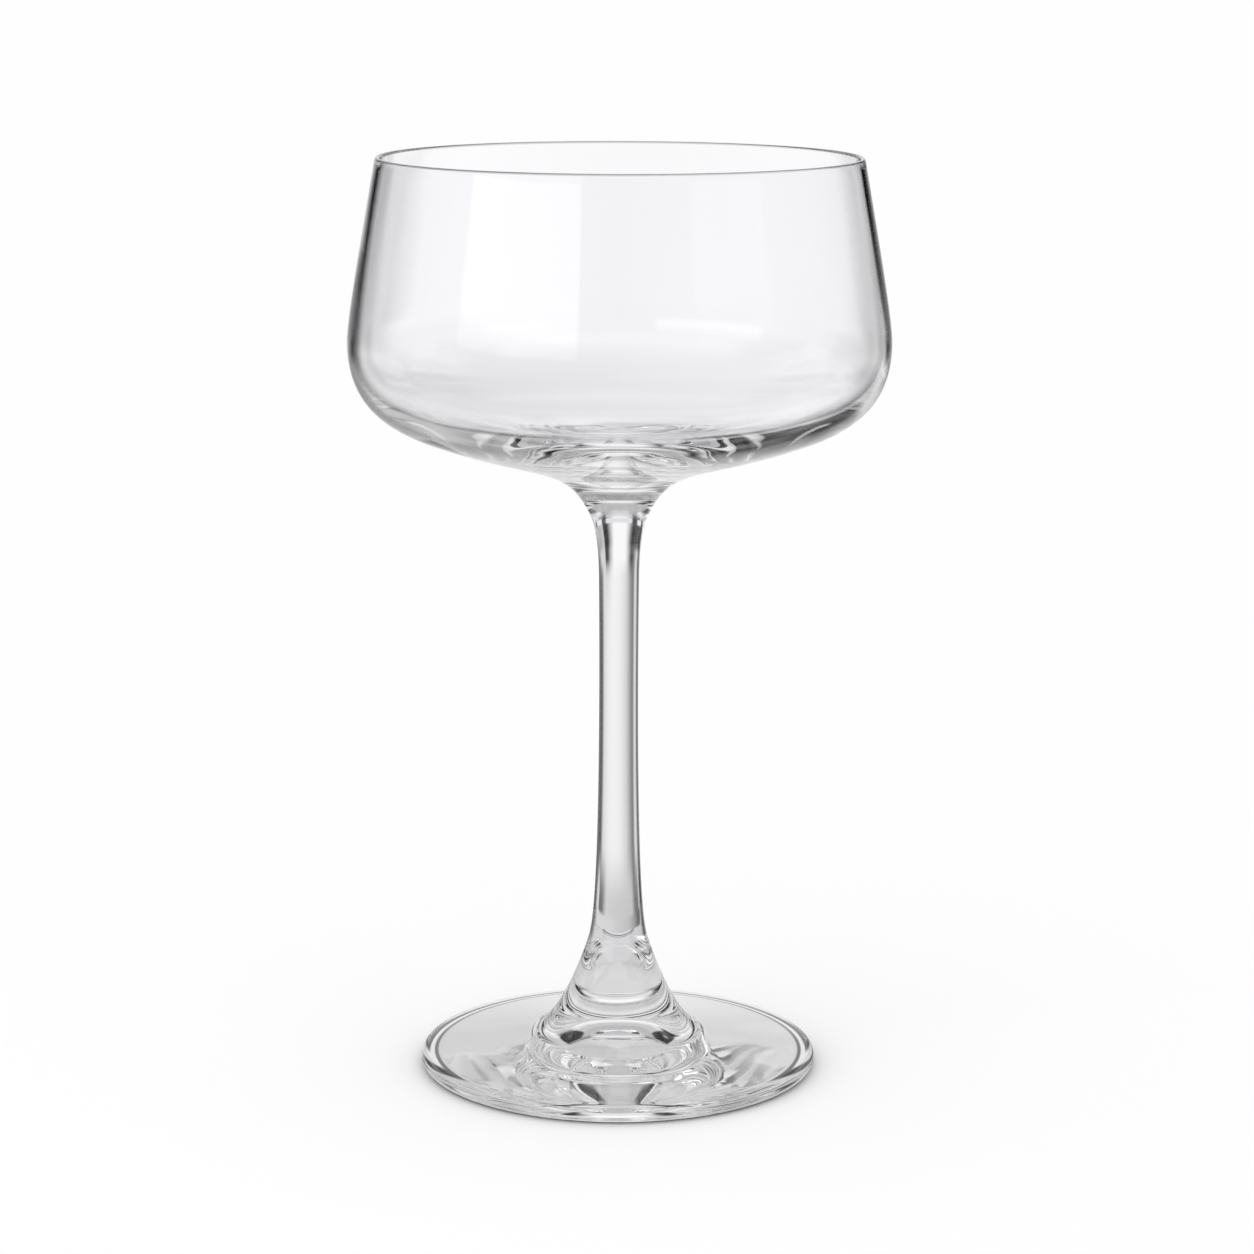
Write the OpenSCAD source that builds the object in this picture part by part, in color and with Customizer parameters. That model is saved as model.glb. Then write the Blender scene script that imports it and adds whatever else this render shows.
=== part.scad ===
// Coupe glass: a wide, shallow bowl on a slim drawn stem, with a round foot.
// Three gathers of clear glass make it, fused end to end while hot: the blown bowl,
// the drawn stem and the spun foot. Each one is a solid of revolution about +Z.
// The origin is the centre of the ring that the foot stands on. The rim is uppermost.

/* [Bowl] */
// Height of the bowl, from its weld on the stem to the top of the lip
bowl_h = 63.6; // [60:0.2:70]
// Outer diameter of the mouth
rim_d = 88.4; // [84:0.2:92]
// Wall thickness at the lip
rim_wall = 1; // [0.8:0.1:1.6]
// Lean of the side at the lip, away from upright
rim_lean = 10.2; // [6:0.2:13]
// Outer diameter of the belly, the widest part
belly_d = 99; // [96:0.2:104]
// Height of the belly above the weld
belly_up = 30.2; // [28:0.2:33]
// Wall thickness at the belly
belly_wall = 1.5; // [1.2:0.1:2.2]
// Outer diameter where the side has turned into the underside
hip_d = 67.2; // [62:0.2:72]
// Height of that turn above the weld
hip_up = 11.9; // [10.5:0.1:13]
// Slope of the underside there, away from level
hip_slope = 18.6; // [15:0.2:22]
// Wall thickness there, square to the surface
hip_wall = 2.8; // [2:0.1:3.6]
// Thickness of the glass under the middle of the floor, down to the weld
base_h = 10.2; // [9:0.1:12]

/* [Stem] */
// Length of the stem between its two welds
stem_len = 81.9; // [60:0.1:100]
// Diameter of the weld between the bowl and the stem
neck_d = 12.6; // [11:0.1:14]
// Flare of the neck at that weld, away from upright
neck_flare = 29; // [24:0.5:34]
// Length of the neck, from the weld down to the slim shank
neck_len = 14.1; // [11:0.1:18]
// Diameter of the shank under the neck
shank_d = 7.4; // [6.4:0.1:8.4]
// Diameter of the weld between the stem and the foot
ankle_d = 11; // [10:0.1:12.4]
// Flare of the ankle at that weld, away from upright
ankle_flare = 17.5; // [14:0.5:21]

/* [Foot] */
// Outer diameter of the foot
foot_d = 74; // [66:0.5:84]
// Height of the stem's weld above the table
foot_h = 24.5; // [22:0.1:28]
// Thickness of the rounded edge
edge_h = 3.3; // [2.4:0.1:4.2]
// Slope of the top face at the edge, away from level
edge_slope = 7.5; // [5:0.5:10]
// Diameter where the cone of the foot runs out into the top face
instep_d = 34; // [30:0.2:40]
// Thickness of the foot there
instep_h = 6.2; // [5.4:0.1:7.4]
// Slope of the top face there, away from level
instep_slope = 9; // [7:0.5:12]
// Width of the flat ring that touches the table
ring_w = 2.4; // [1.5:0.1:4]
// Rise of the hollow underside, at the foot of the punt
hollow_h = 1; // [0.6:0.1:1.6]
// Slope of the underside there, away from level
hollow_slope = 3; // [2:0.2:5]
// Diameter of the punt, the dome that is pushed up into the cone
punt_d = 26; // [20:0.5:30]
// Height of the punt's top above the table
punt_h = 6.3; // [4:0.1:8]

/* [Hidden] */

// Straight stretches that stand in for each curve, and for half of the lip or the edge
curve_steps = 18;
round_steps = 10;
turn_sides = 180;

// How far each curve keeps its direction at its two ends, as a share of its chord
side_share = [0.52, 0.12];
corner_share = [0.5, 0.34];
underside_share = [0.57, 0.27];
floor_share = [0.5, 0.28];
neck_share = [0.13, 0.72];
shank_share = [0.03, 0.12];
cone_share = [0.28, 0.25];
top_share = [0.33, 0.33];
hollow_share = [0.33, 0.33];
punt_share = [0.4, 0.5];

// Welds, counted up from the table
ankle_z = foot_h;
neck_z = ankle_z + stem_len;

// Radii and centres that the profiles share
lip_r = rim_wall / 2;
lip = [rim_d / 2 - lip_r, bowl_h - lip_r];
edge_r = edge_h / 2;
edge = [foot_d / 2 - edge_r, edge_r];
belly = [belly_d / 2, belly_up];
hip = [hip_d / 2, hip_up];
shank = [shank_d / 2, stem_len - neck_len];
instep = [instep_d / 2, instep_h];
ring_in = [edge.x - ring_w, 0];
punt = [punt_d / 2, hollow_h];

// Directions in the profile's plane, counted from the radius towards +Z
up = 90;
down = -90;
inward = 180;
glass = [0.84, 0.89, 0.92, 0.5];

function along(angle) = [cos(angle), sin(angle)];

// The four control points of a smooth curve from one point and direction to the next
function fair(from, from_dir, to, to_dir, share) =
    let (chord = norm(to - from))
    [from, from + share[0] * chord * along(from_dir), to - share[1] * chord * along(to_dir), to];

function cubic(p, t) = pow(1 - t, 3) * p[0] + 3 * pow(1 - t, 2) * t * p[1]
    + 3 * (1 - t) * pow(t, 2) * p[2] + pow(t, 3) * p[3];

function heading(p, t) = pow(1 - t, 2) * (p[1] - p[0]) + 2 * (1 - t) * t * (p[2] - p[1])
    + pow(t, 2) * (p[3] - p[2]);

// Unit step square to a heading, to its right
function right_of(v) = [v.y, -v.x] / norm(v);

// Points of a curve, without its first one
function drawn(p) = [for (i = [1 : curve_steps]) cubic(p, i / curve_steps)];

// The same curve walked back along its other face, as the wall goes from one thickness to another
function lined(p, wall_from, wall_to) =
    [for (i = [curve_steps - 1 : -1 : 0])
        let (t = i / curve_steps)
        let (wall = wall_from + (wall_to - wall_from) * (3 - 2 * t) * pow(t, 2))
        cubic(p, t) + wall * right_of(heading(p, t))];

// Round stretch about a centre, with both of its ends
function arc(centre, r, from_angle, to_angle) =
    [for (i = [0 : round_steps]) centre + r * along(from_angle + (to_angle - from_angle) * i / round_steps)];

// A list without its last entry, for a stretch that ends where the next one starts
function drop_last(list) = [for (i = [0 : len(list) - 2]) list[i]];

// The lip, the outer face down to the weld, the weld, the floor and the inner face back up to the lip
function bowl_outline() =
    let (lip_out = lip + lip_r * along(rim_lean))
    let (hip_in = hip + hip_wall * along(up + hip_slope))
    let (neck = [neck_d / 2, 0])
    let (middle = [0, base_h])
    let (side = fair(lip_out, down + rim_lean, belly, down, side_share))
    let (corner = fair(belly, down, hip, inward + hip_slope, corner_share))
    let (underside = fair(hip, inward + hip_slope, neck, down - neck_flare, underside_share))
    let (floor = fair(middle, 0, hip_in, hip_slope, floor_share))
    concat(
        arc(lip, lip_r, inward + rim_lean, rim_lean),
        drawn(side),
        drawn(corner),
        drawn(underside),
        [[0, 0], middle],
        drawn(floor),
        lined(corner, belly_wall, hip_wall),
        drop_last(lined(side, rim_wall, belly_wall))
    );

// Neck weld, the waisted side and the ankle weld
function stem_outline() =
    let (neck = [neck_d / 2, stem_len])
    let (ankle = [ankle_d / 2, 0])
    concat(
        [[0, stem_len], neck],
        drawn(fair(neck, down - neck_flare, shank, down, neck_share)),
        drawn(fair(shank, down, ankle, down + ankle_flare, shank_share)),
        [[0, 0]]
    );

// Ankle weld, the cone, the top face, the rounded edge, the ring, the hollow underside and the punt
function foot_outline() =
    let (ankle = [ankle_d / 2, foot_h])
    let (edge_top = edge + edge_r * along(up - edge_slope))
    let (hollow_in = inward - hollow_slope)
    concat(
        [[0, foot_h], ankle],
        drawn(fair(ankle, down + ankle_flare, instep, -instep_slope, cone_share)),
        drop_last(drawn(fair(instep, -instep_slope, edge_top, -edge_slope, top_share))),
        arc(edge, edge_r, up - edge_slope, down),
        [ring_in],
        drawn(fair(ring_in, hollow_in, punt, hollow_in, hollow_share)),
        drawn(fair(punt, hollow_in, [0, punt_h], inward, punt_share))
    );

module turned(outline) {
    rotate_extrude($fn = turn_sides)
        polygon(outline);
}

module bowl() {
    color(glass)
        translate([0, 0, neck_z])
            turned(bowl_outline());
}

module stem() {
    color(glass)
        translate([0, 0, ankle_z])
            turned(stem_outline());
}

module foot() {
    color(glass)
        turned(foot_outline());
}

bowl();
stem();
foot();
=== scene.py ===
import math

import bmesh
import bpy
from mathutils import Euler, Matrix, Vector


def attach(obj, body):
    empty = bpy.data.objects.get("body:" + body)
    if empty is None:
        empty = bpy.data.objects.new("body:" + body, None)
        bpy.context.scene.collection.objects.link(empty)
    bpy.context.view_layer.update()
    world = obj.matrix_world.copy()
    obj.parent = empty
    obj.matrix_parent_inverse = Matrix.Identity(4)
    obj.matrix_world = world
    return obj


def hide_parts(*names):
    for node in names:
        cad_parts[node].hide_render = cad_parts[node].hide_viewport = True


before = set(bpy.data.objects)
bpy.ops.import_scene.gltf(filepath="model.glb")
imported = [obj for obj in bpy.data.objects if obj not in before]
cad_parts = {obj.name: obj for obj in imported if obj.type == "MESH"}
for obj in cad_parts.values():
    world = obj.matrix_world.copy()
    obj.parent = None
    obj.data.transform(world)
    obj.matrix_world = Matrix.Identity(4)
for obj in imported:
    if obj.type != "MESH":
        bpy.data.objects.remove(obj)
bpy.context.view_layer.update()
mm = 0.001
print("frame loaded:", ", ".join(sorted(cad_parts)))


# A value in a node tree, so that shader maths can be written as plain expressions
class Wire:
    def __init__(self, graph, socket):
        self.graph = graph
        self.socket = socket

    def __add__(self, other):
        return self.graph.maths("ADD", self, other)

    def __radd__(self, other):
        return self.graph.maths("ADD", other, self)

    def __sub__(self, other):
        return self.graph.maths("SUBTRACT", self, other)

    def __rsub__(self, other):
        return self.graph.maths("SUBTRACT", other, self)

    def __mul__(self, other):
        return self.graph.maths("MULTIPLY", self, other)

    def __rmul__(self, other):
        return self.graph.maths("MULTIPLY", other, self)

    def __truediv__(self, other):
        return self.graph.maths("DIVIDE", self, other)

    def __rtruediv__(self, other):
        return self.graph.maths("DIVIDE", other, self)


# A node tree that is built from its sockets' values and links
class Graph:
    def __init__(self, owner):
        owner.use_nodes = True
        self.tree = owner.node_tree
        self.tree.nodes.clear()

    def node(self, kind, settings, sockets, out=0):
        made = self.tree.nodes.new(kind)
        for name, value in settings.items():
            if name == "stops":
                self.setStops(made.color_ramp, value)
            else:
                setattr(made, name, value)
        for name, value in sockets.items():
            if isinstance(value, Wire):
                self.tree.links.new(value.socket, made.inputs[name])
            else:
                made.inputs[name].default_value = value
        if not made.outputs:
            return None
        return Wire(self, made.outputs[out])

    def setStops(self, ramp, stops):
        for i, (place, colour) in enumerate(stops):
            stop = ramp.elements[i] if i < 2 else ramp.elements.new(place)
            stop.position = place
            stop.color = (*colour, 1)

    def maths(self, operation, first, second=0):
        return self.node("ShaderNodeMath", {"operation": operation}, {0: first, 1: second})

    def split(self, vector):
        x = self.node("ShaderNodeSeparateXYZ", {}, {0: vector}, "X")
        outputs = x.socket.node.outputs
        return x, Wire(self, outputs["Y"]), Wire(self, outputs["Z"])

    # A soft step from one level to another while the value goes from low to high
    def between(self, value, low, high, lowTo=0, highTo=1):
        settings = {"interpolation_type": "SMOOTHSTEP"}
        return self.node("ShaderNodeMapRange", settings, {0: value, 1: low, 2: high, 3: lowTo, 4: highTo})


# Profile curves are drawn as in the part's own source: radius first, then height
def along(degrees):
    return Vector((math.cos(math.radians(degrees)), math.sin(math.radians(degrees))))


def fair(start, startDir, end, endDir, share):
    chord = (end - start).length
    return start, start + share[0] * chord * along(startDir), end - share[1] * chord * along(endDir), end


def cubic(p, t):
    s = 1 - t
    return s ** 3 * p[0] + 3 * s * s * t * p[1] + 3 * s * t * t * p[2] + t ** 3 * p[3]


def rightOf(p, t):
    s = 1 - t
    way = s * s * (p[1] - p[0]) + 2 * s * t * (p[2] - p[1]) + t * t * (p[3] - p[2])
    return Vector((way.y, -way.x)).normalized()


def drawn(p, steps):
    return [cubic(p, i / steps) for i in range(1, steps + 1)]


# The same curve walked back along its other face, while the wall goes from one thickness to another
def lined(p, wallFrom, wallTo, steps):
    points = []
    for i in range(steps - 1, -1, -1):
        t = i / steps
        wall = wallFrom + (wallTo - wallFrom) * (3 - 2 * t) * t * t
        points.append(cubic(p, t) + wall * rightOf(p, t))
    return points


def arc(centre, radius, start, end, steps):
    return [centre + radius * along(start + (end - start) * i / steps) for i in range(steps + 1)]


# Points closer than this are one point
mergeGap = 1e-6


# One piece: its profile spun round the axis, with the faces at its welds in the second material
def spinGlass(name, node, profile, lift, welds, turns):
    bm = bmesh.new()
    line = [bm.verts.new((p.x, 0, p.y + lift)) for p in profile]
    for a, b in zip(line, line[1:]):
        bm.edges.new((a, b))
    bmesh.ops.spin(
        bm, geom=bm.verts[:] + bm.edges[:], cent=(0, 0, 0), axis=(0, 0, 1), angle=math.tau,
        steps=turns, use_merge=True, use_duplicate=False,
    )
    bmesh.ops.remove_doubles(bm, verts=bm.verts[:], dist=mergeGap)
    loose = [edge for edge in bm.edges if not edge.link_faces]
    bmesh.ops.delete(bm, geom=loose, context="EDGES")
    bmesh.ops.recalc_face_normals(bm, faces=bm.faces[:])
    for face in bm.faces:
        face.smooth = True
        atWeld = [all(abs(v.co.z - z) < mergeGap for v in face.verts) for z in welds]
        face.material_index = 1 if any(atWeld) else 0
    for edge in bm.edges:
        if len({face.material_index for face in edge.link_faces}) > 1:
            edge.smooth = False
    mesh = bpy.data.meshes.new(name)
    bm.to_mesh(mesh)
    bm.free()
    piece = bpy.data.objects.new(name, mesh)
    bpy.context.scene.collection.objects.link(piece)
    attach(piece, "root")
    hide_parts(node)
    print(name, "made,", len(mesh.polygons), "faces")
    return piece


# Heights of the two welds above the floor
weldHeights = {"ankle": 24.5 * mm, "neck": 106.4 * mm}

# Bowl: lip, leaning side, tight corner, underside and the inner face over a thick base
bowl = {
    "height": 63.6 * mm,
    "rimWidth": 88.4 * mm,
    "rimWall": 1.0 * mm,
    "rimLean": 10.2,
    "bellyWidth": 99 * mm,
    "bellyUp": 30.2 * mm,
    "bellyWall": 1.5 * mm,
    "hipWidth": 67.2 * mm,
    "hipUp": 11.9 * mm,
    "hipSlope": 18.6,
    "hipWall": 2.8 * mm,
    "baseThick": 10.2 * mm,
    "neckWidth": 12.6 * mm,
    "neckFlare": 29,
    "sideShare": (0.52, 0.12),
    "cornerShare": (0.5, 0.34),
    "undersideShare": (0.57, 0.27),
    "floorShare": (0.5, 0.28),
    "steps": 36,
    "lipSteps": 16,
    "turns": 256,
}


def bowlProfile(b):
    lipRadius = b["rimWall"] / 2
    lip = Vector((b["rimWidth"] / 2 - lipRadius, b["height"] - lipRadius))
    lipOut = lip + lipRadius * along(b["rimLean"])
    belly = Vector((b["bellyWidth"] / 2, b["bellyUp"]))
    hip = Vector((b["hipWidth"] / 2, b["hipUp"]))
    hipIn = hip + b["hipWall"] * along(90 + b["hipSlope"])
    neck = Vector((b["neckWidth"] / 2, 0))
    middle = Vector((0, b["baseThick"]))
    side = fair(lipOut, -90 + b["rimLean"], belly, -90, b["sideShare"])
    corner = fair(belly, -90, hip, 180 + b["hipSlope"], b["cornerShare"])
    underside = fair(hip, 180 + b["hipSlope"], neck, -90 - b["neckFlare"], b["undersideShare"])
    floor = fair(middle, 0, hipIn, b["hipSlope"], b["floorShare"])
    n = b["steps"]
    points = arc(lip, lipRadius, 180 + b["rimLean"], b["rimLean"], b["lipSteps"])
    points += drawn(side, n) + drawn(corner, n) + drawn(underside, n)
    points += [Vector((0, 0)), middle]
    points += drawn(floor, n)
    points += lined(corner, b["bellyWall"], b["hipWall"], n)
    points += lined(side, b["rimWall"], b["bellyWall"], n)
    return points


bowlWelds = [weldHeights["neck"]]
bowlLift = weldHeights["neck"]
bowlGlass = spinGlass("bowlGlass", "bowl", bowlProfile(bowl), bowlLift, bowlWelds, bowl["turns"])

# Stem: drawn thin, flared at both welds
stem = {
    "length": 81.9 * mm,
    "neckWidth": 12.6 * mm,
    "neckFlare": 29,
    "neckLength": 14.1 * mm,
    "shankWidth": 7.4 * mm,
    "ankleWidth": 11 * mm,
    "ankleFlare": 17.5,
    "neckShare": (0.13, 0.72),
    "shankShare": (0.03, 0.12),
    "neckSteps": 40,
    "shankSteps": 80,
    "turns": 128,
}


def stemProfile(s):
    neck = Vector((s["neckWidth"] / 2, s["length"]))
    shank = Vector((s["shankWidth"] / 2, s["length"] - s["neckLength"]))
    ankle = Vector((s["ankleWidth"] / 2, 0))
    points = [Vector((0, s["length"])), neck]
    points += drawn(fair(neck, -90 - s["neckFlare"], shank, -90, s["neckShare"]), s["neckSteps"])
    points += drawn(fair(shank, -90, ankle, -90 + s["ankleFlare"], s["shankShare"]), s["shankSteps"])
    points += [Vector((0, 0))]
    return points


stemWelds = [weldHeights["ankle"], weldHeights["neck"]]
stemLift = weldHeights["ankle"]
stemGlass = spinGlass("stemGlass", "stem", stemProfile(stem), stemLift, stemWelds, stem["turns"])

# Foot: cone, round plate with a rounded edge, standing ring, hollow underside and punt
foot = {
    "width": 74 * mm,
    "height": 24.5 * mm,
    "edgeThick": 3.3 * mm,
    "edgeSlope": 7.5,
    "instepWidth": 34 * mm,
    "instepUp": 6.2 * mm,
    "instepSlope": 9,
    "ringWidth": 2.4 * mm,
    "hollowUp": 1 * mm,
    "hollowSlope": 3,
    "puntWidth": 26 * mm,
    "puntUp": 6.3 * mm,
    "coneShare": (0.28, 0.25),
    "topShare": (0.33, 0.33),
    "hollowShare": (0.33, 0.33),
    "puntShare": (0.4, 0.5),
    "steps": 36,
    "edgeSteps": 24,
    "turns": 256,
}


def footProfile(f):
    edgeRadius = f["edgeThick"] / 2
    edge = Vector((f["width"] / 2 - edgeRadius, edgeRadius))
    edgeTop = edge + edgeRadius * along(90 - f["edgeSlope"])
    ankle = Vector((stem["ankleWidth"] / 2, f["height"]))
    instep = Vector((f["instepWidth"] / 2, f["instepUp"]))
    ringIn = Vector((edge.x - f["ringWidth"], 0))
    punt = Vector((f["puntWidth"] / 2, f["hollowUp"]))
    inward = 180 - f["hollowSlope"]
    n = f["steps"]
    points = [Vector((0, f["height"])), ankle]
    points += drawn(fair(ankle, -90 + stem["ankleFlare"], instep, -f["instepSlope"], f["coneShare"]), n)
    points += drawn(fair(instep, -f["instepSlope"], edgeTop, -f["edgeSlope"], f["topShare"]), n)[:-1]
    points += arc(edge, edgeRadius, 90 - f["edgeSlope"], -90, f["edgeSteps"])
    points += [ringIn]
    points += drawn(fair(ringIn, inward, punt, inward, f["hollowShare"]), n)
    points += drawn(fair(punt, inward, Vector((0, f["puntUp"])), 180, f["puntShare"]), n)
    return points


footWelds = [weldHeights["ankle"]]
footGlass = spinGlass("footGlass", "foot", footProfile(foot), 0, footWelds, foot["turns"])

# Clear glass, with painted shade in its colour where it is seen edge on and at the lip, slightly uneven
# at the foot
glass = {
    "colour": (0.985, 0.985, 0.995, 1),
    "paintedEdgeShade": (0.03, 0.03, 0.04, 1),
    "edgeFrom": 0.76,
    "edgeTo": 0.94,
    "bowlLow": 118 * mm,
    "bowlHigh": 126 * mm,
    "stemEdgeFrom": 0.38,
    "stemEdgeTo": 0.62,
    "stemLow": 20 * mm,
    "stemHigh": 26 * mm,
    "neckLow": 96 * mm,
    "neckHigh": 102 * mm,
    "rimLow": 169.5 * mm,
    "rimHigh": 170 * mm,
    "paintedRimShade": 0.78,
    "waveScale": 55,
    "waveHeight": 0.3 * mm,
    "waveShare": 0.05,
    "waveLow": 8 * mm,
    "waveHigh": 26 * mm,
    "ior": 1.5,
}


def clearGlass(g):
    material = bpy.data.materials.new("clearGlass")
    graph = Graph(material)
    facing = graph.node("ShaderNodeLayerWeight", {}, {"Blend": 0.5}, "Facing")
    place = graph.node("ShaderNodeTexCoord", {}, {}, "Object")
    x, y, z = graph.split(place)
    # Painted shade: a darker band in the glass colour at the lip
    rim = graph.between(z, g["rimLow"], g["rimHigh"]) * g["paintedRimShade"]
    onBowl = graph.between(z, g["bowlLow"], g["bowlHigh"])
    belowNeck = graph.between(z, g["neckLow"], g["neckHigh"], 1, 0)
    onStem = graph.between(z, g["stemLow"], g["stemHigh"]) * belowNeck
    # Painted shade: the glass colour goes dark where the surface is seen edge on, on the bowl, and over a
    # wider band at the stem's sides
    edge = graph.between(facing, g["edgeFrom"], g["edgeTo"]) * onBowl
    edge = edge + graph.between(facing, g["stemEdgeFrom"], g["stemEdgeTo"]) * onStem
    paintedShade = graph.maths("MAXIMUM", rim, edge)
    colours = {0: paintedShade, 6: g["colour"], 7: g["paintedEdgeShade"]}
    colour = graph.node("ShaderNodeMix", {"data_type": "RGBA"}, colours, 2)
    wave = graph.node("ShaderNodeTexNoise", {}, {"Vector": place, "Scale": g["waveScale"], "Detail": 1.0})
    share = g["waveShare"] + graph.between(z, g["waveLow"], g["waveHigh"], 1 - g["waveShare"], 0)
    height = wave * share
    bump = {"Strength": 1, "Distance": g["waveHeight"], "Height": height}
    uneven = graph.node("ShaderNodeBump", {}, bump)
    shader = graph.node("ShaderNodeBsdfPrincipled", {}, {
        "Base Color": colour,
        "Roughness": 0,
        "IOR": g["ior"],
        "Transmission Weight": 1,
        "Normal": uneven,
    })
    graph.node("ShaderNodeOutputMaterial", {}, {"Surface": shader})
    return material


# The welds are fused in the real glass, so their faces aren't seen
def weldGlass():
    material = bpy.data.materials.new("weldGlass")
    graph = Graph(material)
    shader = graph.node("ShaderNodeBsdfPrincipled", {}, {"Base Color": glass["colour"], "Alpha": 0})
    graph.node("ShaderNodeOutputMaterial", {}, {"Surface": shader})
    return material


clear = clearGlass(glass)
weld = weldGlass()
for piece in (bowlGlass, stemGlass, footGlass):
    piece.data.materials.append(clear)
    piece.data.materials.append(weld)
bowlGlass.visible_shadow = False
bowlGlass.visible_diffuse = False
print("glass finished")

# Floor and surround: the levels that the glass bends into view, each a turn and a level; on the floor
# they are painted light and shade.
# Turns are degrees from straight behind the glass, to the right. Reaches are metres from its axis.
studio = {
    "floorRadius": 30,
    "floorSides": 128,
    "floorColour": (0.9, 0.9, 0.9, 1),
    "shadowReach": (0.07, 0.2),
    "white": 0.991,
    "diffuseSky": 1.06,
    "farAway": [
        (-180, 0.4), (-120, 0.6), (-98, 0.65), (-76, 0.7), (-70, 0.5), (-62, 0.05), (-24, 0),
        (-20, 0.2), (-16, 0.6), (-12, 0.9), (-9, 1), (8, 1), (11, 0.75), (15, 0.4), (18, 0.15),
        (20, 0), (28, 0), (31, 0.6), (36, 0.5), (44, 0.4), (60, 0.5), (84, 0.5), (100, 0.5),
        (115, 0.65), (155, 0.65), (180, 0.45),
    ],
    "aMetreAway": [
        (-180, 0.4), (-112, 0.6), (-98, 0.75), (-60, 0.82), (-44, 0.78), (-36, 0.25), (-28, 0.02),
        (-24, 0.06), (-20, 0.35), (-16, 0.7), (-12, 0.95), (-9, 1), (9, 1), (13, 0.75), (17, 0.45),
        (20, 0.15), (23, 0.02), (28, 0.02), (31, 0.65), (36, 0.65), (60, 0.85), (90, 0.85),
        (115, 0.8), (155, 0.75), (180, 0.5),
    ],
    "nearby": [
        (-180, 0.5), (-120, 0.6), (-80, 0.82), (-66, 0.85), (-46, 0.82), (-40, 0.65), (-35, 0.2),
        (-31, 0.17), (-26, 0.3), (-21, 0.47), (-15, 0.66), (-7, 0.81), (0, 0.9), (10, 0.93),
        (20, 0.89), (28, 0.8), (36, 0.68), (42, 0.2), (47, 0.02), (58, 0.05), (66, 0.8), (90, 1),
        (120, 0.8), (180, 0.5),
    ],
    "atTheFoot": [
        (-180, 0.4), (-165, 0.6), (-150, 0.5), (-145, 0.08), (-130, 0.08), (-125, 0.6), (-112, 0.6),
        (-108, 0.02), (-94, 0.02), (-90, 0.8), (-78, 0.8), (-74, 0.03), (-60, 0.03), (-56, 0.7),
        (-48, 0.7), (-44, 0.1), (-32, 0.15), (-24, 0.55), (20, 0.65), (30, 0.15), (40, 0.1),
        (44, 0.85), (56, 0.85), (60, 0.05), (72, 0.05), (76, 0.85), (86, 0.85), (90, 0.03),
        (106, 0.03), (110, 0.7), (135, 0.1), (180, 0.4),
    ],
    "besideTheFoot": [
        (-180, 0.7), (-151, 0.95), (-142, 0.05), (-118, 0.05), (-111, 0.65), (-103, 0.65),
        (-98, 0.02), (-89, 0.02), (-84, 0.9), (-66, 0.8), (-51, 0.6), (-47, 0.03), (-39, 0.05),
        (-30, 0.25), (-17, 0.5), (11, 0.68), (30, 0.68), (52, 0.7), (58, 0.08), (78, 0.08),
        (84, 0.4), (89, 0.02), (94, 0.02), (98, 0.55), (111, 0.75), (117, 0.02), (126, 0.02),
        (130, 1), (144, 1), (154, 0.75), (180, 0.7),
    ],
    # Painted shade on the floor under the foot, seen through the glass
    "paintedShadeUnderTheFoot": [
        (-180, 0.6), (-100, 0.6), (-60, 0.55), (-20, 0.7), (20, 0.7), (60, 0.6), (100, 0.65),
        (180, 0.65),
    ],
    "higher": [
        (-180, 0.5), (-112, 0.45), (-100, 0.05), (-84, 0.05), (-80, 0.95), (-64, 0.95), (-60, 0.05),
        (-48, 0.05), (-45, 0.85), (-34, 0.85), (-31, 0.03), (-22, 0.03), (-19, 0.8), (19, 0.8),
        (22, 0.1), (29, 0.03), (31, 0.8), (46, 0.9), (49, 0.05), (60, 0.05), (64, 0.95), (80, 0.95),
        (84, 0.1), (100, 0.1), (112, 0.6), (180, 0.5),
    ],
    "higherStill": [
        (-180, 0.8), (-120, 0.9), (-110, 0.1), (-90, 0.1), (-84, 1), (-70, 1), (-66, 0.03),
        (-54, 0.03), (-50, 0.9), (-44, 0.9), (-41, 0.02), (-24, 0.02), (-20, 0.6), (20, 0.6),
        (24, 0.02), (41, 0.02), (44, 0.95), (50, 0.95), (54, 0.03), (66, 0.03), (70, 1), (84, 1),
        (90, 0.1), (110, 0.1), (120, 0.9), (180, 0.9),
    ],
    "overhead": 0.5,
    # Painted contact shadow: dark rings on the floor under the foot's edge, with light rings between
    "paintedContactRings": [(0.0334, 0.1), (0.0341, 0.8), (0.0349, 0.03), (0.0359, 0.8)],
    "ringSoft": 0.0003,
    "besideReach": (0.0368, 0.038),
    "footReach": (0.062, 0.07),
    "nearReach": (0.08, 0.14),
    "middleReach": (0.4, 0.9),
    "farSlope": (0.9, 0.15),
    "higherRise": (12, 16),
    "stillRise": (24, 28),
    "overheadRise": (42, 50),
}


# The camera's own rays, and those that come by way of the glass
def rayKinds(graph):
    camera = graph.node("ShaderNodeLightPath", {}, {}, "Is Camera Ray")
    glossy = Wire(graph, camera.socket.node.outputs["Is Glossy Ray"])
    through = Wire(graph, camera.socket.node.outputs["Is Transmission Ray"])
    return camera, graph.maths("MAXIMUM", glossy, through) * (1 - camera)


# Light level round the glass, from the two horizontal coordinates of a place or of a direction
def levelRound(graph, x, y, levels):
    turn = graph.maths("ARCTAN2", x, y) * (1 / math.tau) + 0.5
    stops = [(degrees / 360 + 0.5, (level, level, level)) for degrees, level in levels]
    ramp = graph.node("ShaderNodeValToRGB", {"stops": stops}, {0: turn})
    return graph.node("ShaderNodeRGBToBW", {}, {0: ramp})


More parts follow.
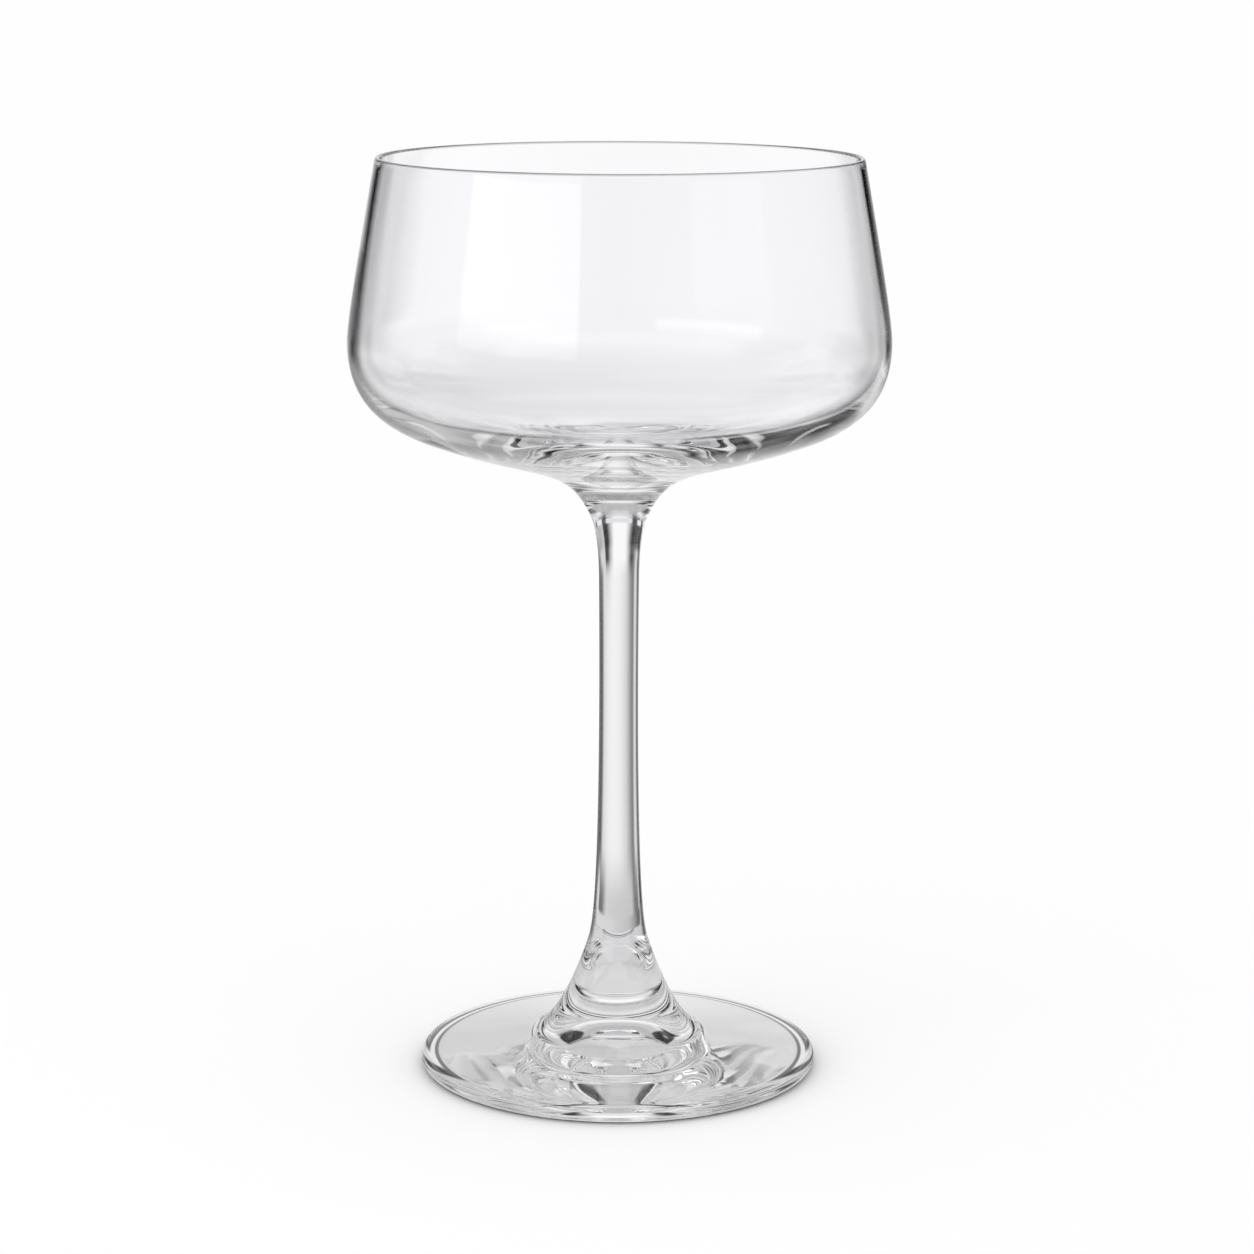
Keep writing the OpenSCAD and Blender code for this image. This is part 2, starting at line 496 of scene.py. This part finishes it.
def makeFloor(s):
    bm = bmesh.new()
    bmesh.ops.create_circle(bm, cap_ends=True, radius=s["floorRadius"], segments=s["floorSides"])
    mesh = bpy.data.meshes.new("floor")
    bm.to_mesh(mesh)
    bm.free()
    piece = bpy.data.objects.new("floor", mesh)
    bpy.context.scene.collection.objects.link(piece)
    material = bpy.data.materials.new("paleFloor")
    graph = Graph(material)
    camera, through = rayKinds(graph)
    place = graph.node("ShaderNodeTexCoord", {}, {}, "Object")
    reach = graph.node("ShaderNodeVectorMath", {"operation": "LENGTH"}, {0: place}, "Value")
    x, y, z = graph.split(place)
    under = levelRound(graph, x, y, s["paintedShadeUnderTheFoot"])
    beside = levelRound(graph, x, y, s["besideTheFoot"])
    foot = levelRound(graph, x, y, s["atTheFoot"])
    near = levelRound(graph, x, y, s["nearby"])
    middle = levelRound(graph, x, y, s["aMetreAway"])
    far = levelRound(graph, x, y, s["farAway"])
    # Rays through the glass and in its reflections see the floor glow with these painted levels of light
    # and shade; the camera sees white, with the real shadow near the foot
    level = under
    for start, shade in s["paintedContactRings"]:
        level = level + graph.between(reach, start, start + s["ringSoft"]) * (shade - level)
    level = level + graph.between(reach, *s["besideReach"]) * (beside - level)
    level = level + graph.between(reach, *s["footReach"]) * (foot - level)
    level = level + graph.between(reach, *s["nearReach"]) * (near - level)
    level = level + graph.between(reach, *s["middleReach"]) * (middle - level)
    level = level + graph.between(1 / reach, *s["farSlope"]) * (far - level)
    level = level + camera * (s["white"] - level)
    diffuse = graph.node("ShaderNodeBsdfDiffuse", {}, {"Color": s["floorColour"]})
    glow = graph.node("ShaderNodeEmission", {}, {"Color": level, "Strength": 1})
    glowing = camera * graph.between(reach, *s["shadowReach"]) + through
    shader = graph.node("ShaderNodeMixShader", {}, {0: glowing, 1: diffuse, 2: glow})
    graph.node("ShaderNodeOutputMaterial", {}, {"Surface": shader})
    mesh.materials.append(material)
    return piece


# White straight behind the glass, darker to the sides; the camera itself sees plain white
def makeSurround(s):
    world = bpy.data.worlds.new("surround")
    bpy.context.scene.world = world
    graph = Graph(world)
    way = graph.node("ShaderNodeTexCoord", {}, {}, "Generated")
    x, y, z = graph.split(way)
    rise = graph.maths("ARCSINE", z) * (180 / math.pi)
    level = levelRound(graph, x, y, s["farAway"])
    higher = levelRound(graph, x, y, s["higher"])
    higherStill = levelRound(graph, x, y, s["higherStill"])
    level = level + graph.between(rise, *s["higherRise"]) * (higher - level)
    level = level + graph.between(rise, *s["stillRise"]) * (higherStill - level)
    level = level + graph.between(rise, *s["overheadRise"]) * (s["overhead"] - level)
    camera, through = rayKinds(graph)
    level = s["diffuseSky"] + through * (level - s["diffuseSky"])
    level = level + camera * (s["white"] - level)
    sky = graph.node("ShaderNodeBackground", {}, {"Color": level, "Strength": 1})
    graph.node("ShaderNodeOutputWorld", {}, {"Surface": sky})


makeFloor(studio)
makeSurround(studio)

# Each soft box is an upright area lamp that faces the glass
softBoxes = [
    {
        "name": "leftBox",
        "turn": -133,
        "distance": 1.1,
        "width": 0.95,
        "base": 0.015,
        "top": 0.5,
        "strength": 1.9,
    },
    {
        "name": "rightBox",
        "turn": 130,
        "distance": 1.1,
        "width": 0.66,
        "base": 0.03,
        "top": 0.35,
        "strength": 1.0,
    },
]

# Each window is an upright strip with round corners, bent round the glass and seen only in it
windows = [
    {
        "name": "leftWindow",
        "turns": (-164, -109),
        "radius": 1.0,
        "rise": (0.2, 0.46),
        "light": 1.5,
        "corner": 0.06,
        "soft": 0.03,
        "steps": 32,
    },
    {
        "name": "rightWindow",
        "turns": (112, 150),
        "radius": 1.0,
        "rise": (0.25, 0.46),
        "light": 0.9,
        "corner": 0.08,
        "soft": 0.04,
        "steps": 32,
    },
]


def addSoftBox(b):
    lamp = bpy.data.lights.new(b["name"], "AREA")
    lamp.shape = "RECTANGLE"
    lamp.size = b["width"]
    lamp.size_y = b["top"] - b["base"]
    lamp.energy = b["strength"] * math.pi * lamp.size * lamp.size_y
    holder = bpy.data.objects.new(b["name"], lamp)
    turn = math.radians(b["turn"])
    place = Vector((math.sin(turn), math.cos(turn), 0)) * b["distance"]
    holder.location = place + Vector((0, 0, (b["base"] + b["top"]) / 2))
    holder.rotation_euler = Euler((math.pi / 2, 0, math.pi - turn))
    holder.visible_camera = False
    holder.visible_glossy = False
    holder.visible_transmission = False
    bpy.context.scene.collection.objects.link(holder)


def addWindow(w):
    low, high = w["turns"]
    base, top = w["rise"]
    start = math.radians(90 - low)
    bm = bmesh.new()
    x = w["radius"] * math.cos(start)
    y = w["radius"] * math.sin(start)
    ends = [bm.verts.new((x, y, base)), bm.verts.new((x, y, top))]
    side = bm.edges.new(ends)
    bmesh.ops.spin(
        bm, geom=ends + [side], cent=(0, 0, 0), axis=(0, 0, 1), angle=math.radians(low - high),
        steps=w["steps"], use_merge=False, use_duplicate=False,
    )
    mesh = bpy.data.meshes.new(w["name"])
    bm.to_mesh(mesh)
    bm.free()
    holder = bpy.data.objects.new(w["name"], mesh)
    bpy.context.scene.collection.objects.link(holder)
    material = bpy.data.materials.new(w["name"])
    graph = Graph(material)
    place = graph.node("ShaderNodeTexCoord", {}, {}, "Object")
    x, y, z = graph.split(place)
    turn = graph.maths("ARCTAN2", x, y) - math.radians((low + high) / 2)
    across = graph.maths("ABSOLUTE", turn * w["radius"])
    across = across - math.radians((high - low) / 2) * w["radius"] + w["corner"]
    upward = graph.maths("ABSOLUTE", z - (base + top) / 2)
    upward = upward - (top - base) / 2 + w["corner"]
    across = graph.maths("MAXIMUM", across, 0)
    upward = graph.maths("MAXIMUM", upward, 0)
    outside = graph.maths("POWER", across * across + upward * upward, 0.5)
    fade = graph.between(outside, w["corner"] - w["soft"], w["corner"], 1, 0)
    clearPart = graph.node("ShaderNodeBsdfTransparent", {}, {})
    bright = graph.node("ShaderNodeEmission", {}, {"Strength": w["light"]})
    shader = graph.node("ShaderNodeMixShader", {}, {0: fade, 1: clearPart, 2: bright})
    graph.node("ShaderNodeOutputMaterial", {}, {"Surface": shader})
    mesh.materials.append(material)
    holder.visible_camera = False
    holder.visible_diffuse = False
    holder.visible_shadow = False


for box in softBoxes:
    addSoftBox(box)
for window in windows:
    addWindow(window)
print("studio ready")

# Camera: solved from the photograph, with its focal length in pixels
view = {
    "place": (1.5 * mm, -646.6 * mm, 213.5 * mm),
    "pitch": 11.36,
    "roll": 0.18,
    "focal": 3569,
    "frameWidth": 1254,
    "sensor": 36,
}


def addCamera(v):
    camera = bpy.data.cameras.new("camera")
    camera.sensor_width = v["sensor"]
    camera.lens = v["focal"] / v["frameWidth"] * camera.sensor_width
    holder = bpy.data.objects.new("camera", camera)
    bpy.context.scene.collection.objects.link(holder)
    tilt = Euler((math.radians(90 - v["pitch"]), 0, 0)).to_matrix()
    roll = Matrix.Rotation(math.radians(v["roll"]), 3, "Z")
    holder.location = v["place"]
    holder.rotation_euler = (tilt @ roll).to_euler()
    bpy.context.scene.camera = holder


addCamera(view)

# Light crosses many faces of clear glass before it leaves
scene = bpy.context.scene
scene.view_settings.view_transform = "Standard"
scene.cycles.max_bounces = 128
scene.cycles.transmission_bounces = 128
scene.cycles.glossy_bounces = 128
scene.cycles.transparent_max_bounces = 64
scene.cycles.caustics_refractive = False
scene.cycles.caustics_reflective = False

print("scene ready")
